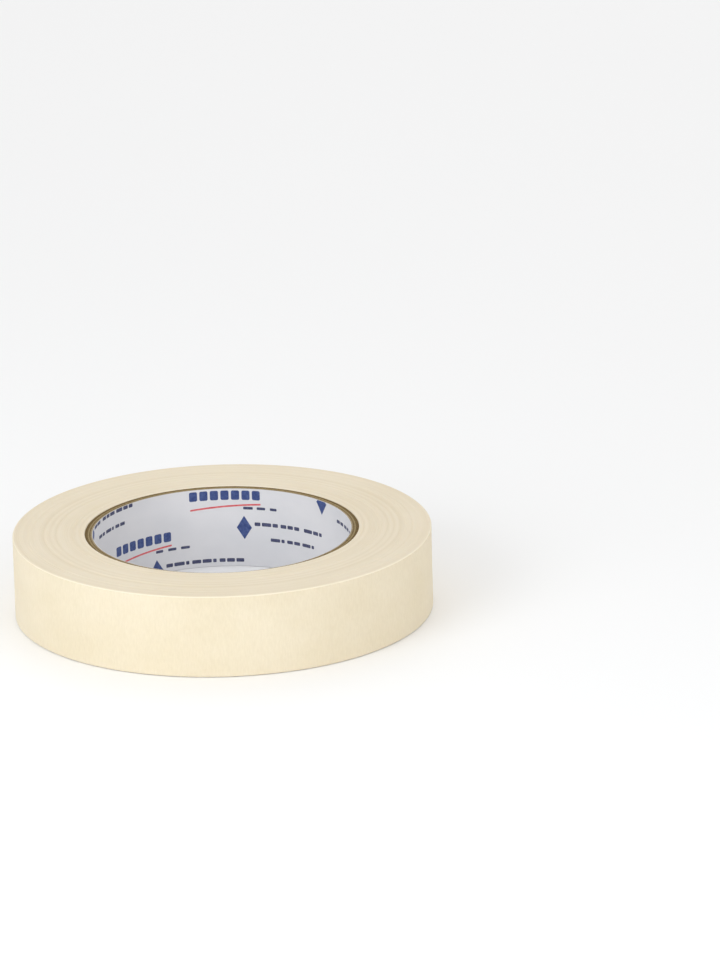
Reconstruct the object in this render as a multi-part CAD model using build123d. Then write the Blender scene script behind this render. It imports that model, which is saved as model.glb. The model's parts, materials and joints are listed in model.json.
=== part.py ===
from build123d import *
from math import cos, pi, radians, sin, tan
import os

# A roll of masking tape lying on one side face. Millimetres, +Z up along the roll's axis.
# The origin is the centre of the lower side face, on the surface that the roll lies on.
# Angles go round the roll counter-clockwise seen from above, in degrees from +X.

# driving dimensions
BORE_RADIUS = 38.45  # a 3 inch core, with 0.7 mm of play on a 3 inch (76.2 mm) hub
LINER_THICKNESS = 0.15  # the white printed ply that faces the bore
PLY_THICKNESS = 0.41  # one ply of kraft paperboard
PLY_COUNT = 5
GLUE_LINE = 0.03  # between two plies, and between the core and the first turn of tape
CORE_FOOT = 0.1  # height of the core's lower end above the tape's lower side face
CORE_RECESS = 0.55  # depth of the core's upper end below the tape's upper side face
TAPE_WIDTH = 25.0
TAPE_THICKNESS = 0.127  # crepe paper, adhesive and coatings together
TURNS = 170
HELIX_ANGLE = 22.6  # between a ply's edge and the circumference; plies climb clockwise
SEAM_GAP = 0.15  # a ply's butt seam, across the gap
LINER_SEAM_ANGLE = 290.0  # where the liner's seam would meet the plane of the lower side face
SEAM_STEP = 137.5  # each ply's seam is this much further round than the last one's
FREE_END_LENGTH = 40.0  # from the line where the tape lifts to its cut edge
ROOT_ANGLE = 8.0  # where that line is
UNDER_END_GAP = 0.02  # between the free end and the turn below it
ROOT_GAP = 0.04  # between the free end and the turn that it continues

# sizes that follow from them
CORE_OUTER_RADIUS = BORE_RADIUS + LINER_THICKNESS + PLY_COUNT * (GLUE_LINE + PLY_THICKNESS)
PACK_INNER_RADIUS = CORE_OUTER_RADIUS + GLUE_LINE
PACK_RADIUS = PACK_INNER_RADIUS + TURNS * TAPE_THICKNESS
CORE_LENGTH = TAPE_WIDTH - CORE_RECESS - CORE_FOOT
FREE_END_ANGLE = FREE_END_LENGTH / PACK_RADIUS * 180 / pi
TIP_ANGLE = ROOT_ANGLE + FREE_END_ANGLE
ROOT_GAP_ANGLE = ROOT_GAP / PACK_RADIUS * 180 / pi

SPIRAL_STEP = 6.0  # degrees between two points of a spiral curve
SLOT_STEPS = 8  # cross-sections along a seam cutter, less one
SLOT_OVERRUN = 1.0  # a seam cutter reaches this far past the ply on every side


def polar(radius, angle):
    """The point at that radius and angle, in the plane of the side faces."""
    return (radius * cos(radians(angle)), radius * sin(radians(angle)))


def tape_face_radius(wound_back):
    """Radius of the tape's outer face, that many degrees of winding back from the cut edge."""
    return PACK_RADIUS - TAPE_THICKNESS * wound_back / 360


def spiral_curve(first_angle, last_angle, turns_below, inward=0.0):
    """The tape's outer face between two angles, on the last turn or on one below it."""
    count = max(4, round(abs(last_angle - first_angle) / SPIRAL_STEP))
    points = []
    for i in range(count + 1):
        angle = first_angle + (last_angle - first_angle) * i / count
        wound_back = TIP_ANGLE - angle + 360 * turns_below
        points.append(polar(tape_face_radius(wound_back) - inward, angle))
    return Spline(*points)


def seam_slot(inner_radius, outer_radius, start_angle):
    """A twisted strip that cuts a ply's helical butt seam from one end of the core to the other."""
    lead = 2 * pi * BORE_RADIUS * tan(radians(HELIX_ANGLE))
    width = SEAM_GAP / sin(radians(HELIX_ANGLE))
    depth = outer_radius - inner_radius + 2 * SLOT_OVERRUN
    height = CORE_LENGTH + 2 * SLOT_OVERRUN
    sections = []
    for i in range(SLOT_STEPS + 1):
        z = CORE_FOOT - SLOT_OVERRUN + height * i / SLOT_STEPS
        turned = Pos(0, 0, z) * Rot(0, 0, start_angle - 360 * z / lead)
        sections.append(turned * Pos((inner_radius + outer_radius) / 2, 0) * Rectangle(depth, width))
    return loft(sections)


def core_ply(inner_radius, thickness, seam_angle):
    """One strip of board or paper wound into a tube, with its edges butted along a helix."""
    outer_radius = inner_radius + thickness
    ring = Circle(outer_radius) - Circle(inner_radius)
    tube = extrude(Pos(0, 0, CORE_FOOT) * ring, CORE_LENGTH)
    return tube - seam_slot(inner_radius, outer_radius, seam_angle)


def wound_tape():
    """The turns that are stuck to each other. A ledge one tape thick is left for the free end."""
    ledge_top = polar(tape_face_radius(FREE_END_ANGLE), ROOT_ANGLE)
    ledge_foot = polar(tape_face_radius(FREE_END_ANGLE + 360), ROOT_ANGLE)
    last_turn = spiral_curve(TIP_ANGLE - 360, ROOT_ANGLE, 0)
    under_free_end = spiral_curve(ROOT_ANGLE, TIP_ANGLE, 1)
    outline = [last_turn, Line(ledge_top, ledge_foot), under_free_end]
    side_face = make_face(outline) - Circle(PACK_INNER_RADIUS)
    return extrude(side_face, TAPE_WIDTH)


def free_end():
    """The end of the tape, lying on the ledge with its cut edge showing as a small step."""
    thickness = TAPE_THICKNESS - UNDER_END_GAP
    first = ROOT_ANGLE + ROOT_GAP_ANGLE
    outer = spiral_curve(first, TIP_ANGLE, 0)
    inner = spiral_curve(first, TIP_ANGLE, 0, thickness)
    outline = [outer, Line(outer @ 1, inner @ 1), inner, Line(inner @ 0, outer @ 0)]
    return extrude(make_face(outline), TAPE_WIDTH)


def roll_of_tape():
    """Every piece of the roll, by name."""
    pieces = {"core_liner": core_ply(BORE_RADIUS, LINER_THICKNESS, LINER_SEAM_ANGLE)}
    radius = BORE_RADIUS + LINER_THICKNESS + GLUE_LINE
    for number in range(1, PLY_COUNT + 1):
        seam_angle = LINER_SEAM_ANGLE + number * SEAM_STEP
        pieces[f"core_ply_{number}"] = core_ply(radius, PLY_THICKNESS, seam_angle)
        radius += PLY_THICKNESS + GLUE_LINE
    pieces["wound_tape"] = wound_tape()
    pieces["tape_end"] = free_end()
    return pieces


os.makedirs("parts", exist_ok=True)
for name, solid in roll_of_tape().items():
    export_step(solid, f"parts/{name}.step")

hinge_x, hinge_y = polar(tape_face_radius(FREE_END_ANGLE), ROOT_ANGLE)
tape_length = pi * (PACK_RADIUS + PACK_INNER_RADIUS) * TURNS / 1000
print(f"outside diameter {2 * PACK_RADIUS:.2f}, core wall {CORE_OUTER_RADIUS - BORE_RADIUS:.2f}")
print(f"hinge line of the free end at {hinge_x:.3f}, {hinge_y:.3f}; cut edge at {TIP_ANGLE:.2f} degrees")
print(f"tape on the roll {tape_length:.1f} m")
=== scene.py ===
import json
import math

import bpy
import numpy as np
from mathutils import Matrix, Vector


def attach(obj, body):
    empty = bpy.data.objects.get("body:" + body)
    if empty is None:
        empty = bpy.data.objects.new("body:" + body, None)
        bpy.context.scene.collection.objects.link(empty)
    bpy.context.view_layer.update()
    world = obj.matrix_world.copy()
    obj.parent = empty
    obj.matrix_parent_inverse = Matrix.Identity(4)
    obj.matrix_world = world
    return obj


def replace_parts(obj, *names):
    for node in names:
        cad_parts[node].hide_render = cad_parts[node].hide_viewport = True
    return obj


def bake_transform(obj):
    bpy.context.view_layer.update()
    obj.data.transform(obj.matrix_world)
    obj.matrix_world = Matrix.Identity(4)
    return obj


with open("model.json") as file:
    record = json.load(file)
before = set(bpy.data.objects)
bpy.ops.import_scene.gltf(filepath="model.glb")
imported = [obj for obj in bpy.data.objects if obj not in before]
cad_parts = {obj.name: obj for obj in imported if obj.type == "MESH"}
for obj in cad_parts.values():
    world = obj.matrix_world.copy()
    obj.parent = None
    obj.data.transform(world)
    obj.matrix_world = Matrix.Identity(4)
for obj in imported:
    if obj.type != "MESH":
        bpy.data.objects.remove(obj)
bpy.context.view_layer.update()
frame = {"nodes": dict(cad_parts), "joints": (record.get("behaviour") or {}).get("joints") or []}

# Looks for a roll of masking tape. Lengths are in millimetres until a mesh is made, then in metres.
# Angles go round the roll counter-clockwise seen from above, in radians from +X.

MM = 0.001
TURN = 2 * math.pi


# --- sizes read from the frame -----------------------------------------------------------------

def node_points(node):
    """Radius, angle and height of every vertex of a CAD node, in millimetres and radians."""
    points = np.array([v.co for v in frame["nodes"][node].data.vertices]) / MM
    return np.hypot(points[:, 0], points[:, 1]), np.arctan2(points[:, 1], points[:, 0]), points[:, 2]


TAPE_THICKNESS = 0.127  # crepe paper, adhesive and coatings together
liner_r, _, liner_z = node_points("core_liner")
tape_r, _, tape_z = node_points("wound_tape")
end_r, end_angle, _ = node_points("tape_end")
BORE_RADIUS = liner_r.min()
CORE_BOTTOM, CORE_TOP = liner_z.min(), liner_z.max()
PACK_INNER_RADIUS = tape_r.min()
WIDTH = tape_z.max()
TIP_RADIUS = end_r.max()
TIP_ANGLE = end_angle.max()
hinge = Vector(frame["joints"][0]["pos_m"]) / MM
ROOT_ANGLE = math.atan2(hinge.y, hinge.x)
FREE_ANGLE = TIP_ANGLE - ROOT_ANGLE
TURNS = round((TIP_RADIUS - PACK_INNER_RADIUS) / TAPE_THICKNESS)


def outer_face_radius(angle):
    """Radius of the tape's outer face where it has been wound to that angle, which ends at TIP_ANGLE."""
    return TIP_RADIUS - TAPE_THICKNESS * (TIP_ANGLE - angle) / TURN


# --- noise and mesh helpers --------------------------------------------------------------------

NOISE_CELLS = 256


def smooth_noise(x, y, seed):
    """Value noise from -1 to 1, with one random value at each whole x and y."""
    table = np.random.default_rng(seed).uniform(-1, 1, (NOISE_CELLS, NOISE_CELLS))
    x, y = np.broadcast_arrays(np.asarray(x, float), np.asarray(y, float))
    column, row = np.floor(x).astype(int), np.floor(y).astype(int)
    fx, fy = x - column, y - row
    fx, fy = fx * fx * (3 - 2 * fx), fy * fy * (3 - 2 * fy)

    def corner(dx, dy):
        return table[(column + dx) % NOISE_CELLS, (row + dy) % NOISE_CELLS]

    near = corner(0, 0) * (1 - fx) + corner(1, 0) * fx
    far = corner(0, 1) * (1 - fx) + corner(1, 1) * fx
    return near * (1 - fy) + far * fy


def cylinder_points(radius, angle, z):
    """An array of points in metres from arrays of radius, angle and height in millimetres."""
    radius, angle, z = np.broadcast_arrays(radius, angle, z)
    return np.stack([radius * np.cos(angle), radius * np.sin(angle), z], -1) * MM


def make_piece(name, points, faces, materials, face_materials=None, sharp=40):
    """A mesh object from points and faces, smooth except across edges sharper than `sharp` degrees."""
    mesh = bpy.data.meshes.new(name)
    mesh.from_pydata(np.asarray(points).reshape(-1, 3).tolist(), [], faces)
    for material in materials:
        mesh.materials.append(material)
    if face_materials is not None:
        mesh.polygons.foreach_set("material_index", face_materials)
    mesh.shade_smooth()
    mesh.set_sharp_from_angle(angle=math.radians(sharp))
    mesh.update()
    piece = bpy.data.objects.new(name, mesh)
    bpy.context.scene.collection.objects.link(piece)
    return piece


def tag_points(piece, name, values):
    """Stores a vector on every vertex, for the materials."""
    attribute = piece.data.attributes.new(name, "FLOAT_VECTOR", "POINT")
    attribute.data.foreach_set("vector", np.asarray(values, np.float32).ravel())


def loop_faces(columns, loop):
    """Quads that join each column of a closed loop of points to the next, and a cap at each end."""
    faces, sides = [], []
    for i in range(columns - 1):
        for j in range(loop):
            k = (j + 1) % loop
            faces.append((i * loop + j, (i + 1) * loop + j, (i + 1) * loop + k, i * loop + k))
            sides.append(j)
    faces.append(tuple(range(loop)))
    faces.append(tuple(range(columns * loop - 1, (columns - 1) * loop - 1, -1)))
    return faces, sides + [-1, -1]


# --- materials ---------------------------------------------------------------------------------

def srgb(red, green, blue):
    """A colour for a shader socket from 0-255 display values."""
    def linear(value):
        value /= 255
        return value / 12.92 if value <= 0.04045 else ((value + 0.055) / 1.055) ** 2.4
    return (linear(red), linear(green), linear(blue), 1.0)


class Shader:
    """A material with one Principled shader, and short calls that add nodes to it."""

    def __init__(self, name, roughness, specular=0.5):
        self.material = bpy.data.materials.new(name)
        self.material.use_nodes = True
        self.nodes = self.material.node_tree.nodes
        self.links = self.material.node_tree.links
        self.principled = self.nodes["Principled BSDF"]
        self.principled.inputs["Roughness"].default_value = roughness
        self.principled.inputs["Specular IOR Level"].default_value = specular

    def add(self, kind, inputs=None, **settings):
        node = self.nodes.new(kind)
        for key, value in settings.items():
            setattr(node, key, value)
        for key, value in (inputs or {}).items():
            if isinstance(value, bpy.types.NodeSocket):
                self.links.new(value, node.inputs[key])
            else:
                node.inputs[key].default_value = value
        return node

    def strip_place(self, scale):
        """The place on the strip, in millimetres along and across it, times scale."""
        place = self.add("ShaderNodeAttribute", attribute_name="strip")
        return self.add("ShaderNodeMapping", {"Vector": place.outputs["Vector"], "Scale": scale}).outputs[0]

    def object_place(self, scale):
        """The place in the frame, times scale."""
        place = self.add("ShaderNodeTexCoord")
        return self.add("ShaderNodeMapping", {"Vector": place.outputs["Object"], "Scale": scale}).outputs[0]

    def noise(self, place, scale, detail=3.0, roughness=0.5):
        inputs = {"Vector": place, "Scale": scale, "Detail": detail, "Roughness": roughness}
        return self.add("ShaderNodeTexNoise", inputs).outputs["Fac"]

    def ramp(self, value, stops):
        node = self.add("ShaderNodeValToRGB", {"Fac": value})
        node.color_ramp.elements.remove(node.color_ramp.elements[0])
        for i, (position, colour) in enumerate(stops):
            element = node.color_ramp.elements[0] if i == 0 else node.color_ramp.elements.new(position)
            element.position, element.color = position, colour
        return node.outputs["Color"]

    def mix(self, factor, a, b, blend="MIX"):
        node = self.add("ShaderNodeMix", data_type="RGBA", blend_type=blend)
        for key, value in (("Factor", factor), ("A", a), ("B", b)):
            sockets = [s for s in node.inputs if s.name == key and (s.type == "RGBA" or key == "Factor")]
            socket = sockets[0]  # the node has one set of sockets for each type of value
            if isinstance(value, bpy.types.NodeSocket):
                self.links.new(value, socket)
            else:
                socket.default_value = value
        return [s for s in node.outputs if s.type == "RGBA"][0]

    def colour(self, socket):
        self.links.new(socket, self.principled.inputs["Base Color"])

    def rough(self, socket):
        self.links.new(socket, self.principled.inputs["Roughness"])

    def bump(self, height, distance, strength=1.0):
        node = self.add("ShaderNodeBump", {"Height": height, "Distance": distance, "Strength": strength})
        self.links.new(node.outputs["Normal"], self.principled.inputs["Normal"])

    def translucency(self, weight, radius, scale):
        self.principled.inputs["Subsurface Weight"].default_value = weight
        self.principled.inputs["Subsurface Radius"].default_value = radius
        self.principled.inputs["Subsurface Scale"].default_value = scale


def crepe_material():
    """Creped paper: cream, matte, with fine wrinkles across the tape and faint mottling."""
    shader = Shader("crepe_paper", roughness=0.62, specular=0.32)
    blotches = shader.noise(shader.strip_place((0.035, 0.06, 1.0)), 1.0, 3.0)
    fibres = shader.noise(shader.strip_place((2.2, 0.55, 1.0)), 1.0, 4.0, 0.6)
    tone = shader.ramp(blotches, [(0.3, srgb(227, 214, 187)), (0.7, srgb(233, 221, 197))])
    grain = shader.ramp(fibres, [(0.3, srgb(243, 241, 236)), (0.7, srgb(255, 255, 255))])
    shader.colour(shader.mix(0.55, tone, grain, "MULTIPLY"))
    fine = shader.noise(shader.strip_place((5.0, 1.4, 1.0)), 1.0, 3.0, 0.6)
    shader.bump(fine, 0.00002, 0.5)
    shader.rough(shader.ramp(fibres, [(0.2, (0.56, 0.56, 0.56, 1)), (0.8, (0.68, 0.68, 0.68, 1))]))
    shader.translucency(0.08, (1.0, 0.7, 0.4), 0.0004)
    return shader.material


PAINTED_RIM_HIGHLIGHT = (0.5, 0.15)  # a painted highlight: the slit edges turn paler between these distances from the outermost one, where the rounded corner catches the light


def side_material():
    """The slit edges of all the turns: cream, a little deeper than the paper, in faint rings, with a painted
    highlight along the outer corner.
    """
    shader = Shader("slit_edges", roughness=0.7, specular=0.25)
    place = shader.add("ShaderNodeAttribute", attribute_name="strip")
    parts = shader.add("ShaderNodeSeparateXYZ", {"Vector": place.outputs["Vector"]})
    rings = shader.add("ShaderNodeCombineXYZ", {"X": parts.outputs["Z"]})
    wide = shader.noise(rings.outputs[0], 0.55, 4.0, 0.62)
    deep, middle, pale = srgb(223, 210, 185), srgb(229, 217, 194), srgb(233, 222, 201)
    base = shader.ramp(wide, [(0.32, deep), (0.5, middle), (0.68, pale)])
    smudges = shader.noise(shader.object_place((1, 1, 1)), 28.0, 3.0)
    wear = shader.ramp(smudges, [(0.35, srgb(249, 247, 243)), (0.65, srgb(255, 255, 255))])
    worn = shader.mix(0.6, base, wear, "MULTIPLY")
    # Painted highlight: the outermost slit edges are mixed towards a paler cream, standing in for the light the
    # rounded corner catches.
    highlight_start, highlight_end = (TIP_RADIUS - distance for distance in PAINTED_RIM_HIGHLIGHT)
    highlight_range = {"Value": parts.outputs["Z"], "From Min": highlight_start, "From Max": highlight_end}
    outermost = shader.add("ShaderNodeMapRange", highlight_range)
    shader.colour(shader.mix(outermost.outputs[0], worn, srgb(246, 236, 214)))
    grain = shader.noise(shader.object_place((1, 1, 1)), 3200.0, 2.0)
    shader.bump(grain, 0.00002, 0.4)
    shader.translucency(0.08, (1.0, 0.7, 0.4), 0.0005)
    return shader.material


def adhesive_material():
    """The tape's sticky side: yellower and shinier than the paper, whose wrinkles show through."""
    shader = Shader("adhesive_side", roughness=0.34, specular=0.5)
    streaks = shader.noise(shader.strip_place((1.4, 0.25, 1.0)), 1.0, 4.0, 0.6)
    shader.colour(shader.ramp(streaks, [(0.3, srgb(226, 203, 152)), (0.7, srgb(236, 216, 170))]))
    shader.rough(shader.ramp(streaks, [(0.25, (0.28, 0.28, 0.28, 1)), (0.75, (0.45, 0.45, 0.45, 1))]))
    shader.bump(streaks, 0.00004, 0.5)
    return shader.material


def board_material(name, dark, light, seed):
    """Kraft board seen from its cut edge: brown, with pale and dark fibres."""
    shader = Shader(name, roughness=0.85, specular=0.2)
    along = shader.noise(shader.strip_place((1.1, 1.1, 4.0)), 1.0 + 0.1 * seed, 5.0, 0.65)
    shader.colour(shader.ramp(along, [(0.3, dark), (0.7, light)]))
    shader.bump(along, 0.00008, 0.6)
    return shader.material


def liner_material():
    """White coated paper with a soft gloss and a faint cool tint."""
    shader = Shader("liner_paper", roughness=0.42, specular=0.5)
    cloud = shader.noise(shader.strip_place((0.05, 0.08, 1.0)), 1.0, 3.0)
    shader.colour(shader.ramp(cloud, [(0.3, srgb(208, 208, 211)), (0.7, srgb(217, 216, 218))]))
    fibres = shader.noise(shader.strip_place((1.6, 1.6, 1.0)), 1.0, 5.0, 0.6)
    shader.rough(shader.ramp(fibres, [(0.3, (0.36, 0.36, 0.36, 1)), (0.7, (0.5, 0.5, 0.5, 1))]))
    shader.bump(fibres, 0.00003, 0.35)
    return shader.material


def ink_material(name, thin, full):
    """Printed ink that lets a little of the paper's fibre through."""
    shader = Shader(name, roughness=0.5, specular=0.4)
    cover = shader.noise(shader.object_place((1, 1, 1)), 900.0, 4.0, 0.65)
    shader.colour(shader.ramp(cover, [(0.35, full), (0.75, thin)]))
    return shader.material


def floor_material():
    shader = Shader("pale_floor", roughness=0.8, specular=0.2)
    tone = shader.noise(shader.object_place((1, 1, 1)), 1.5, 2.0)
    shader.colour(shader.ramp(tone, [(0.3, srgb(246, 246, 246)), (0.7, srgb(248, 248, 248))]))
    return shader.material


CREPE = crepe_material()
SIDES = side_material()
ADHESIVE = adhesive_material()
LINER = liner_material()
NAVY_INK = ink_material("navy_ink", srgb(74, 92, 142), srgb(44, 62, 116))
GREY_INK = ink_material("dark_ink", srgb(84, 88, 116), srgb(52, 56, 88))
RED_INK = ink_material("red_ink", srgb(222, 122, 122), srgb(200, 78, 82))


# --- the wound turns ---------------------------------------------------------------------------

SIDE_STEPS = 120  # points per turn on the side faces
GROOVE_DEPTH = 0.03  # between the slit edges of two turns
CORNER_WIDTH = 0.8  # the outermost turns round the corner over this width
CORNER_DROP = 0.46


TOP_SEED, LOW_SEED = 11, 21  # of the upper and lower side face
TURN_STEP, BAND_STEP, DISH_STEP = 0.012, 0.03, 0.03  # unevenness of single turns, of a few and of many


def edge_drop(angle, turn, seed):
    """How far the slit edge of each turn sits inside the roll's full width."""
    round_roll = angle / TURN
    alone = TURN_STEP * (1 + smooth_noise(turn * 0.93, round_roll * 2, seed))
    together = BAND_STEP * (1 + smooth_noise(turn / 6, round_roll * 1.3, seed + 1))
    slow = DISH_STEP * (1 + smooth_noise(turn / 31, round_roll * 0.7, seed + 2))
    return alone + together + slow


def corner_drop(radius):
    """The outer corner's rounding."""
    reach = np.clip((radius - (TIP_RADIUS - CORNER_WIDTH)) / CORNER_WIDTH, 0, 1)
    return CORNER_DROP * reach ** 2.5


def wound_turns():
    """Every turn but the last, with the slit edge of each one as a low ridge on both side faces."""
    step = TURN / SIDE_STEPS
    count = round(((TURNS - 1) * TURN - FREE_ANGLE) / step) - SIDE_STEPS
    angle = ROOT_ANGLE - TURN - step * np.arange(count, -SIDE_STEPS - 1, -1)
    groove_radius = outer_face_radius(angle) - TAPE_THICKNESS
    ridge_angle = angle[: count + 1]
    ridge_radius = outer_face_radius(ridge_angle) - TAPE_THICKNESS / 2
    sheets = []
    turn = np.arange(len(angle)) / SIDE_STEPS
    for seed in (TOP_SEED, LOW_SEED):
        ridge_drop = edge_drop(ridge_angle, turn[: count + 1], seed) + corner_drop(ridge_radius)
        groove_drop = edge_drop(angle, turn, seed) + corner_drop(groove_radius)
        sheets.append((groove_drop + GROOVE_DEPTH, ridge_drop))
    (groove_top, ridge_top), (groove_low, ridge_low) = sheets
    blocks = [
        (groove_radius, angle, WIDTH - groove_top),
        (ridge_radius, ridge_angle, WIDTH - ridge_top),
        (groove_radius, angle, groove_low),
        (ridge_radius, ridge_angle, ridge_low),
    ]
    points = np.concatenate([cylinder_points(*block) for block in blocks])
    place = np.concatenate([np.stack([a * r, z, r], -1) for r, a, z in blocks])
    grooves, ridges = len(angle), count + 1
    top_ridge, low_groove = grooves, grooves + ridges
    low_ridge = low_groove + grooves
    faces = []
    for i in range(count):
        j = i + SIDE_STEPS
        faces.append((i, top_ridge + i, top_ridge + i + 1, i + 1))
        faces.append((top_ridge + i, j, j + 1, top_ridge + i + 1))
        faces.append((low_groove + i, low_groove + i + 1, low_ridge + i + 1, low_ridge + i))
        faces.append((low_ridge + i, low_ridge + i + 1, low_groove + j + 1, low_groove + j))
    for i in range(SIDE_STEPS):  # the face towards the core
        faces.append((i, i + 1, low_groove + i + 1, low_groove + i))
    for i in range(count, count + SIDE_STEPS):  # the face under the last turn
        faces.append((i, low_groove + i, low_groove + i + 1, i + 1))
    for i, flip in ((0, False), (count, True)):  # the two ends of the strip
        j = i + SIDE_STEPS
        end = (i, low_groove + i, low_ridge + i, low_groove + j, j, top_ridge + i)
        faces.append(end[::-1] if flip else end)
    piece = make_piece("wound_turns", points, faces, [SIDES], sharp=75)
    tag_points(piece, "strip", place)
    return piece


# --- the last turn and the free end ------------------------------------------------------------

WRINKLE_STEP = 0.16  # along the strip
TURN_ROWS = 22  # faces across the last turn's creped side
TAIL_ROWS = 52  # and across the free end's
EDGE_ROUND = 0.03  # bevel along the strip's four long edges
LAST_DROP = 0.4  # the last turn's slit edges are this much as uneven as the others
WRINKLE_DEPTH = 0.016  # of the crepe's folds, and of the slower swell under them
LIFT_LENGTH = 4.0  # the free end's last stretch stands a little off the turn below it
TIP_LIFT = 0.025  # at the lower corner of the cut edge, and twice that at the upper one
TEAR_DEPTH = 0.45  # of the cut edge's small teeth


def crepe_depth(along, across):
    """How far the creped face dips at a place on the strip, in millimetres."""
    bend = 1.2 * smooth_noise(along / 9, across / 6, 31)
    folds = smooth_noise((along + bend) / 0.62, across / 5.5, 32)
    fine = smooth_noise((along + bend) / 0.34, across / 2.6, 33)
    swell = smooth_noise(along / 23, across / 14, 34)
    return WRINKLE_DEPTH * (1 + 0.65 * folds + 0.35 * fine) + WRINKLE_DEPTH * (1 + swell)


def cut_end(angle, z, last_angle):
    """How far the tape's end lifts, and how far its cut edge is torn back, at every angle and height."""
    reach = np.clip(1 - (last_angle - angle) * TIP_RADIUS / LIFT_LENGTH, 0, 1)
    lift = TIP_LIFT * (1 + z / WIDTH) * reach ** 2
    teeth = 0.5 + 0.3 * smooth_noise(z / 0.9, 0.5, 35) + 0.2 * smooth_noise(z / 3.1, 0.5, 36)
    return lift, TEAR_DEPTH * teeth * reach ** 4


def strip_mesh(name, first_angle, last_angle, clearance, materials, rows, loose=False):
    """A length of the tape between two winding angles, with a creped outer face and a plain inner one."""
    columns = 1 + math.ceil((last_angle - first_angle) * TIP_RADIUS / WRINKLE_STEP)
    angle = np.linspace(first_angle, last_angle, columns)
    radius = outer_face_radius(angle)
    inner = radius - TAPE_THICKNESS + clearance
    along = angle * TIP_RADIUS
    top = WIDTH - LAST_DROP * edge_drop(angle, TURNS, TOP_SEED) - corner_drop(radius)
    low = LAST_DROP * edge_drop(angle, TURNS, LOW_SEED) + corner_drop(radius)
    loop = []
    for share in np.linspace(0, 1, rows + 1):
        z = low + EDGE_ROUND + (top - low - 2 * EDGE_ROUND) * share
        loop.append((radius - crepe_depth(along, z), z))
    loop.append((radius - EDGE_ROUND - crepe_depth(along, top), top))
    loop.append((inner + EDGE_ROUND, top))
    for share in np.linspace(1, 0, rows // 4):
        loop.append((inner, low + EDGE_ROUND + (top - low - 2 * EDGE_ROUND) * share))
    loop.append((inner + EDGE_ROUND, low))
    loop.append((radius - EDGE_ROUND - crepe_depth(along, low), low))
    place = np.stack([np.stack([along, z, r], -1) for r, z in loop], 1)
    if loose:
        ends = [cut_end(angle, z, last_angle) for _, z in loop]
    else:
        ends = [(0, 0)] * len(loop)
    points = np.stack([cylinder_points(r + lift, angle - torn / TIP_RADIUS, z)
                       for (r, z), (lift, torn) in zip(loop, ends)], 1)
    faces, sides = loop_faces(columns, len(loop))
    inner_first = rows + 3
    inner_last = inner_first + rows // 4 - 1
    sticky = [1 if inner_first <= side < inner_last else 0 for side in sides]
    piece = make_piece(name, points, faces, materials, sticky)
    tag_points(piece, "strip", place)
    return piece


# --- the core ----------------------------------------------------------------------------------

HELIX_RISE = math.tan(math.radians(22.6))  # a ply's edge climbs this much per millimetre round the core
LINER_SEAM_ANGLE = math.radians(290.0)
SEAM_STEP = math.radians(137.5)
SEAM_GAP = 0.39  # between a ply's two edges, measured round the core
ROUND = TURN * BORE_RADIUS
CORE_COLUMNS = 1200
TIP_HEIGHT = 0.02  # a ply's pointed ends stop at this height
ASKEW = 0.3  # the core's upper end is this much higher at the back than halfway, and lower at the front
EDGE_SHARES = (0.12, 0.34, 0.5, 0.66, 0.88)  # points across a ply's cut edge
LINER_ROWS, BOARD_ROWS = 24, 1  # faces up the side of a ply that faces the bore
LINER_FUZZ, BOARD_FUZZ = 0.04, 0.16  # how far a ply's cut edge is worn down, at most


def strip_heights(x, start):
    """The heights that a ply covers where it has been wound clockwise by x from its seam's foot."""
    cut = CORE_TOP + ASKEW * np.sin(start - x / BORE_RADIUS)
    low = np.maximum(CORE_BOTTOM, (x - ROUND + SEAM_GAP / 2) * HELIX_RISE)
    high = np.minimum(cut, (x - SEAM_GAP / 2) * HELIX_RISE)
    return low, high


def ply_mesh(name, node, material, start, rows, fuzz, seed, wave=None):
    """One ply of the core: a strip wound clockwise from one edge of its slanted seam to the other."""
    radius, _, _ = node_points(node)
    inner, outer = radius.min(), radius.max()
    first = (CORE_BOTTOM + TIP_HEIGHT) / HELIX_RISE + SEAM_GAP / 2
    last = ROUND + (CORE_TOP - ASKEW) / HELIX_RISE - SEAM_GAP / 2
    x = np.linspace(first, last, CORE_COLUMNS)
    low, high = strip_heights(x, start)
    keep = high - low > TIP_HEIGHT
    x, low, high = x[keep], low[keep], high[keep]
    whole = np.minimum(1, (high - low) / 0.5)

    def ragged(share, side):
        """How far the cut edge is worn down at each column."""
        fine = 1 + smooth_noise(x / 0.55, share * 7, seed + side)
        slow = 1 + smooth_noise(x / 9, share * 3, seed + side + 2)
        return fuzz * whole * (0.3 * fine + 0.2 * slow)

    loop = []
    for share in np.linspace(0, 1, rows + 1):
        z = low + (high - low) * share
        loop.append((inner + (wave(x, z) if wave else 0), z))
    for share in EDGE_SHARES:
        loop.append((inner + (outer - inner) * share, high - ragged(share, 0)))
    loop += [(outer, high), (outer, low)]
    for share in reversed(EDGE_SHARES):
        loop.append((inner + (outer - inner) * share, low + ragged(share, 1)))
    angle = start - x / BORE_RADIUS
    points = np.stack([cylinder_points(r, angle, z) for r, z in loop], 1)
    place = np.stack([np.stack([x, z, np.broadcast_to(r, x.shape)], -1) for r, z in loop], 1)
    faces, _ = loop_faces(len(x), len(loop))
    piece = make_piece(name, points, faces, [material])
    tag_points(piece, "strip", place)
    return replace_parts(piece, node)


def liner_wave(x, z):
    """The liner's shallow waves, where it isn't quite stuck down."""
    across = z - x * HELIX_RISE
    return 0.02 * (1 + smooth_noise(x / 17, across / 9, 41)) + 0.008 * smooth_noise(x / 4, across / 3, 42)


# --- the liner's print -------------------------------------------------------------------------
# Plain bars, diamonds, dashes and lines, repeated along the helix. On this sheet x runs clockwise round
# the bore from the seam's foot, and y is the height.

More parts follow.
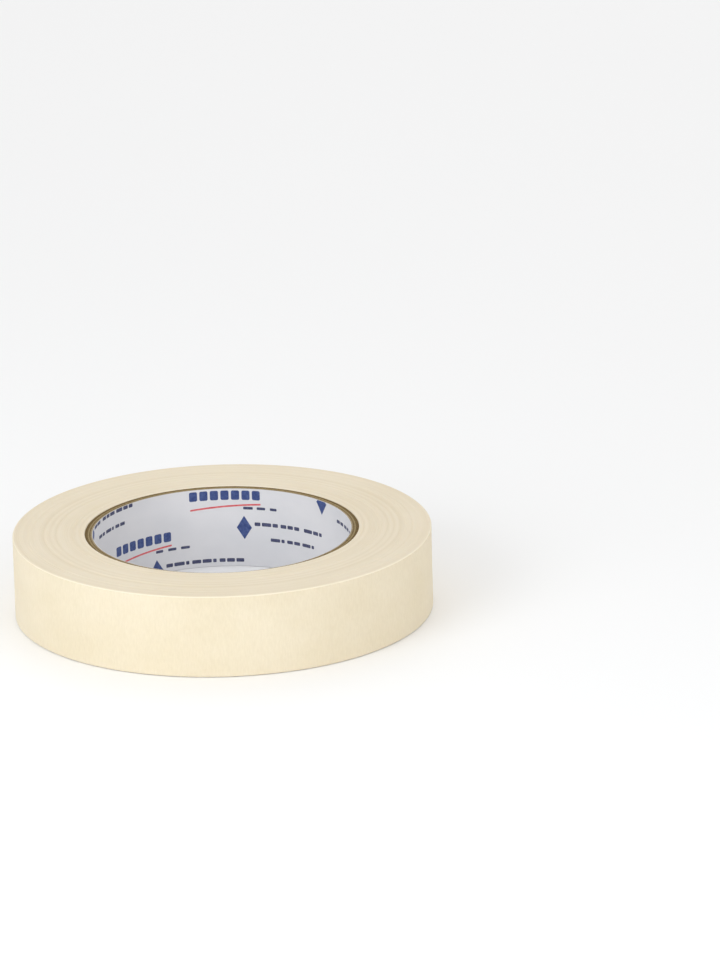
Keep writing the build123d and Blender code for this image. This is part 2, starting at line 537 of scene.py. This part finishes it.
PRINT_X = 124.5  # the first repeat's corner
NEXT_REPEAT = (27.85, 11.6)
NEXT_ROW = (-63.8, 10.45)
INK_HEIGHT = 0.012  # a mark's face stands this far off the liner
INK_DEPTH = 0.03  # and its back is this far inside it
END_MARGIN = 0.03  # between a mark and the seam or the end of the core
MARK_STEP = 0.7  # between two columns of points on a mark
MARK_ROW = 0.8  # between two rows of them, at most


def bar(x, y, length, height, corner, slope=0.0):
    """Columns (x, low, high) of a bar with rounded corners whose middle line starts at (x, y)."""
    ends = [corner * (1 - math.cos(a)) for a in np.linspace(0, math.pi / 2, 4)]
    middle = list(np.linspace(corner, length - corner, 2 + int(length / MARK_STEP)))
    columns = []
    for d in ends + middle[1:-1] + [length - e for e in reversed(ends)]:
        reach = max(0.0, corner - min(d, length - d))
        half = height / 2 - corner + math.sqrt(corner ** 2 - reach ** 2)
        level = y + slope * d
        columns.append((x + d, level - half, level + half))
    return columns


def diamond(x, y, half_width, half_height):
    """Columns of a diamond centred at (x, y)."""
    columns = []
    for d in np.linspace(-1, 1, 9):
        half = half_height * max(0.02, 1 - abs(d))
        columns.append((x + d * half_width, y - half, y + half))
    return columns


def dashes(x, y, length, height, words, rng):
    """A row of plain dashes in a few groups."""
    marks = []
    group = length / words
    for w in range(words):
        start = x + w * group
        stop = start + group - 0.9
        while start < stop - 0.8:
            dash = min(rng.uniform(1.7, 3.4), stop - start)
            marks.append(bar(start, y, dash, height, 0.25))
            start += dash + 0.45
    return marks


def repeat_marks(rng):
    """The marks of one repeat of the print, by ink."""
    navy = [bar(i * 3.2, 22.7, 2.5, 3.0, 0.5) for i in range(7)]
    navy.append(diamond(16.6, 12.4, 2.3, 3.75))
    red = [bar(0.2, 18.4, 21.7, 0.55, 0.25, slope=0.07)]
    grey = dashes(16.4, 18.6, 12.6, 0.85, 3, rng)
    grey += dashes(19.8, 13.6, 25.2, 1.15, 3, rng)
    grey += dashes(24.8, 8.9, 16.6, 1.05, 3, rng)
    return {"navy": navy, "red": red, "grey": grey}


def on_the_liner(columns):
    """The columns, trimmed to the sheet between its seam and the two ends of the core."""
    kept = []
    for x, low, high in columns:
        lowest, highest = strip_heights(x, LINER_SEAM_ANGLE)
        low, high = max(low, lowest + END_MARGIN), min(high, highest - END_MARGIN)
        if high - low > 0.05:
            kept.append((x, low, high))
    return kept


def print_mesh(name, marks, material):
    """All the marks of one ink, as thin closed films that stand just proud of the liner."""
    points, faces = [], []
    for columns in marks:
        columns = on_the_liner(columns)
        if len(columns) < 2:
            continue
        x, low, high = np.array(columns).T
        rows = 1 + math.ceil((high - low).max() / MARK_ROW)
        levels = [low + (high - low) * share for share in np.linspace(0, 1, rows)]
        loop = [(BORE_RADIUS + liner_wave(x, z) - INK_HEIGHT, z) for z in levels]
        loop += [(BORE_RADIUS + liner_wave(x, z) + INK_DEPTH, z) for z in reversed(levels)]
        angle = LINER_SEAM_ANGLE - x / BORE_RADIUS
        base = len(points)
        points += np.stack([cylinder_points(r, angle, z) for r, z in loop], 1).reshape(-1, 3).tolist()
        faces += [tuple(base + i for i in face) for face in loop_faces(len(x), len(loop))[0]]
    piece = make_piece(name, points, faces, [material])
    return piece


def liner_print():
    """The print over the whole liner, one piece for each ink."""
    rng = np.random.default_rng(7)
    inks = {"navy": [], "red": [], "grey": []}
    for along in range(-9, 10):
        for across in range(-5, 6):
            dx = PRINT_X + along * NEXT_REPEAT[0] + across * NEXT_ROW[0]
            dy = along * NEXT_REPEAT[1] + across * NEXT_ROW[1]
            if not -40 < dy < 30 or not -60 < dx < ROUND + 70:
                continue
            for ink, marks in repeat_marks(rng).items():
                for columns in marks:
                    inks[ink].append([(x + dx, low + dy, high + dy) for x, low, high in columns])
    return [
        print_mesh("liner_print_navy", inks["navy"], NAVY_INK),
        print_mesh("liner_print_red", inks["red"], RED_INK),
        print_mesh("liner_print_dark", inks["grey"], GREY_INK),
    ]


# --- the pieces --------------------------------------------------------------------------------

turns = wound_turns()
last_turn = strip_mesh("last_turn", ROOT_ANGLE - TURN, ROOT_ANGLE, 0.0, [CREPE, SIDES], TURN_ROWS)
for piece in (turns, last_turn):
    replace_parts(piece, "wound_tape")
    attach(piece, "roll")

tail = strip_mesh("free_end", ROOT_ANGLE, TIP_ANGLE, 0.01, [CREPE, ADHESIVE], TAIL_ROWS, loose=True)
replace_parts(tail, "tape_end")
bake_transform(tail)

liner = ply_mesh("printed_liner", "core_liner", LINER, LINER_SEAM_ANGLE, LINER_ROWS, LINER_FUZZ, 51, liner_wave)
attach(liner, "roll")
PLY_COLOURS = (  # from the bore outwards
    (srgb(146, 130, 102), srgb(184, 168, 138)),
    (srgb(104, 86, 54), srgb(150, 130, 92)),
    (srgb(136, 118, 82), srgb(176, 158, 120)),
    (srgb(92, 76, 44), srgb(140, 118, 78)),
    (srgb(98, 80, 46), srgb(142, 120, 80)),
)
for number, (dark, light) in enumerate(PLY_COLOURS, start=1):
    board = board_material(f"kraft_board_{number}", dark, light, number)
    start = LINER_SEAM_ANGLE + number * SEAM_STEP
    seed = 60 + 4 * number
    ply = ply_mesh(f"board_ply_{number}", f"core_ply_{number}", board, start, BOARD_ROWS, BOARD_FUZZ, seed)
    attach(ply, "roll")
for ink in liner_print():
    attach(ink, "roll")


# --- floor, light and camera -------------------------------------------------------------------

def make_floor():
    """A plain floor that is much larger than the roll."""
    half = 6.0
    corners = [(-half, -half, 0), (half, -half, 0), (half, half, 0), (-half, half, 0)]
    floor = make_piece("floor", corners, [(0, 1, 2, 3)], [floor_material()])


def softbox(name, place, size, power, colour):
    """A large area light that faces the roll."""
    lamp = bpy.data.lights.new(name, "AREA")
    lamp.shape, lamp.size, lamp.energy, lamp.color = "SQUARE", size, power, colour
    light = bpy.data.objects.new(name, lamp)
    light.location = place
    light.rotation_euler = (Vector((0, 0, 0.01)) - Vector(place)).to_track_quat("-Z", "Y").to_euler()
    bpy.context.scene.collection.objects.link(light)


ROOM = 0.8  # strength of the light from the room
FAR_FLOOR = 0.745  # near the horizon it is as bright as the far floor


def make_light():
    """Bright, soft light from the front left and above, with a pale room round it."""
    softbox("key_light", (-0.42, -0.5, 0.32), 0.4, 1.97, (0.93, 0.967, 1.0))
    softbox("fill_light", (0.75, -0.95, 0.5), 0.9, 2.95, (1.0, 0.995, 0.985))
    softbox("back_light", (0.2, 1.3, 1.3), 1.6, 4.3, (1.0, 1.0, 1.0))
    world = bpy.data.worlds.new("room")
    world.use_nodes = True
    nodes, links = world.node_tree.nodes, world.node_tree.links
    direction = nodes.new("ShaderNodeTexCoord")
    height = nodes.new("ShaderNodeSeparateXYZ")
    room = nodes.new("ShaderNodeMapRange")
    room.inputs["From Min"].default_value, room.inputs["From Max"].default_value = 0.02, 0.2
    room.inputs["To Min"].default_value, room.inputs["To Max"].default_value = FAR_FLOOR, ROOM
    links.new(direction.outputs["Generated"], height.inputs[0])
    links.new(height.outputs["Z"], room.inputs["Value"])
    links.new(room.outputs[0], nodes["Background"].inputs["Strength"])
    nodes["Background"].inputs["Color"].default_value = (1.0, 1.0, 1.0, 1.0)
    bpy.context.scene.world = world


def make_camera():
    """A long lens looking down at the roll, which lies low and left in the picture."""
    distance, elevation = 2.198, math.radians(19.045)
    aim = Vector((0.0415, 0.0, 0.0387))
    roll = math.radians(-1.492)
    lens = bpy.data.cameras.new("camera")
    lens.lens, lens.sensor_width = 275.9, 36.0
    lens.clip_start, lens.clip_end = 0.05, 40.0
    camera = bpy.data.objects.new("camera", lens)
    place = Vector((0, -distance * math.cos(elevation), distance * math.sin(elevation)))
    facing = (aim - place).to_track_quat("-Z", "Y").to_matrix()
    camera.matrix_world = Matrix.Translation(place) @ (facing @ Matrix.Rotation(roll, 3, "Z")).to_4x4()
    bpy.context.scene.collection.objects.link(camera)
    bpy.context.scene.camera = camera


make_floor()
make_light()
make_camera()
bpy.context.scene.view_settings.view_transform = "Standard"
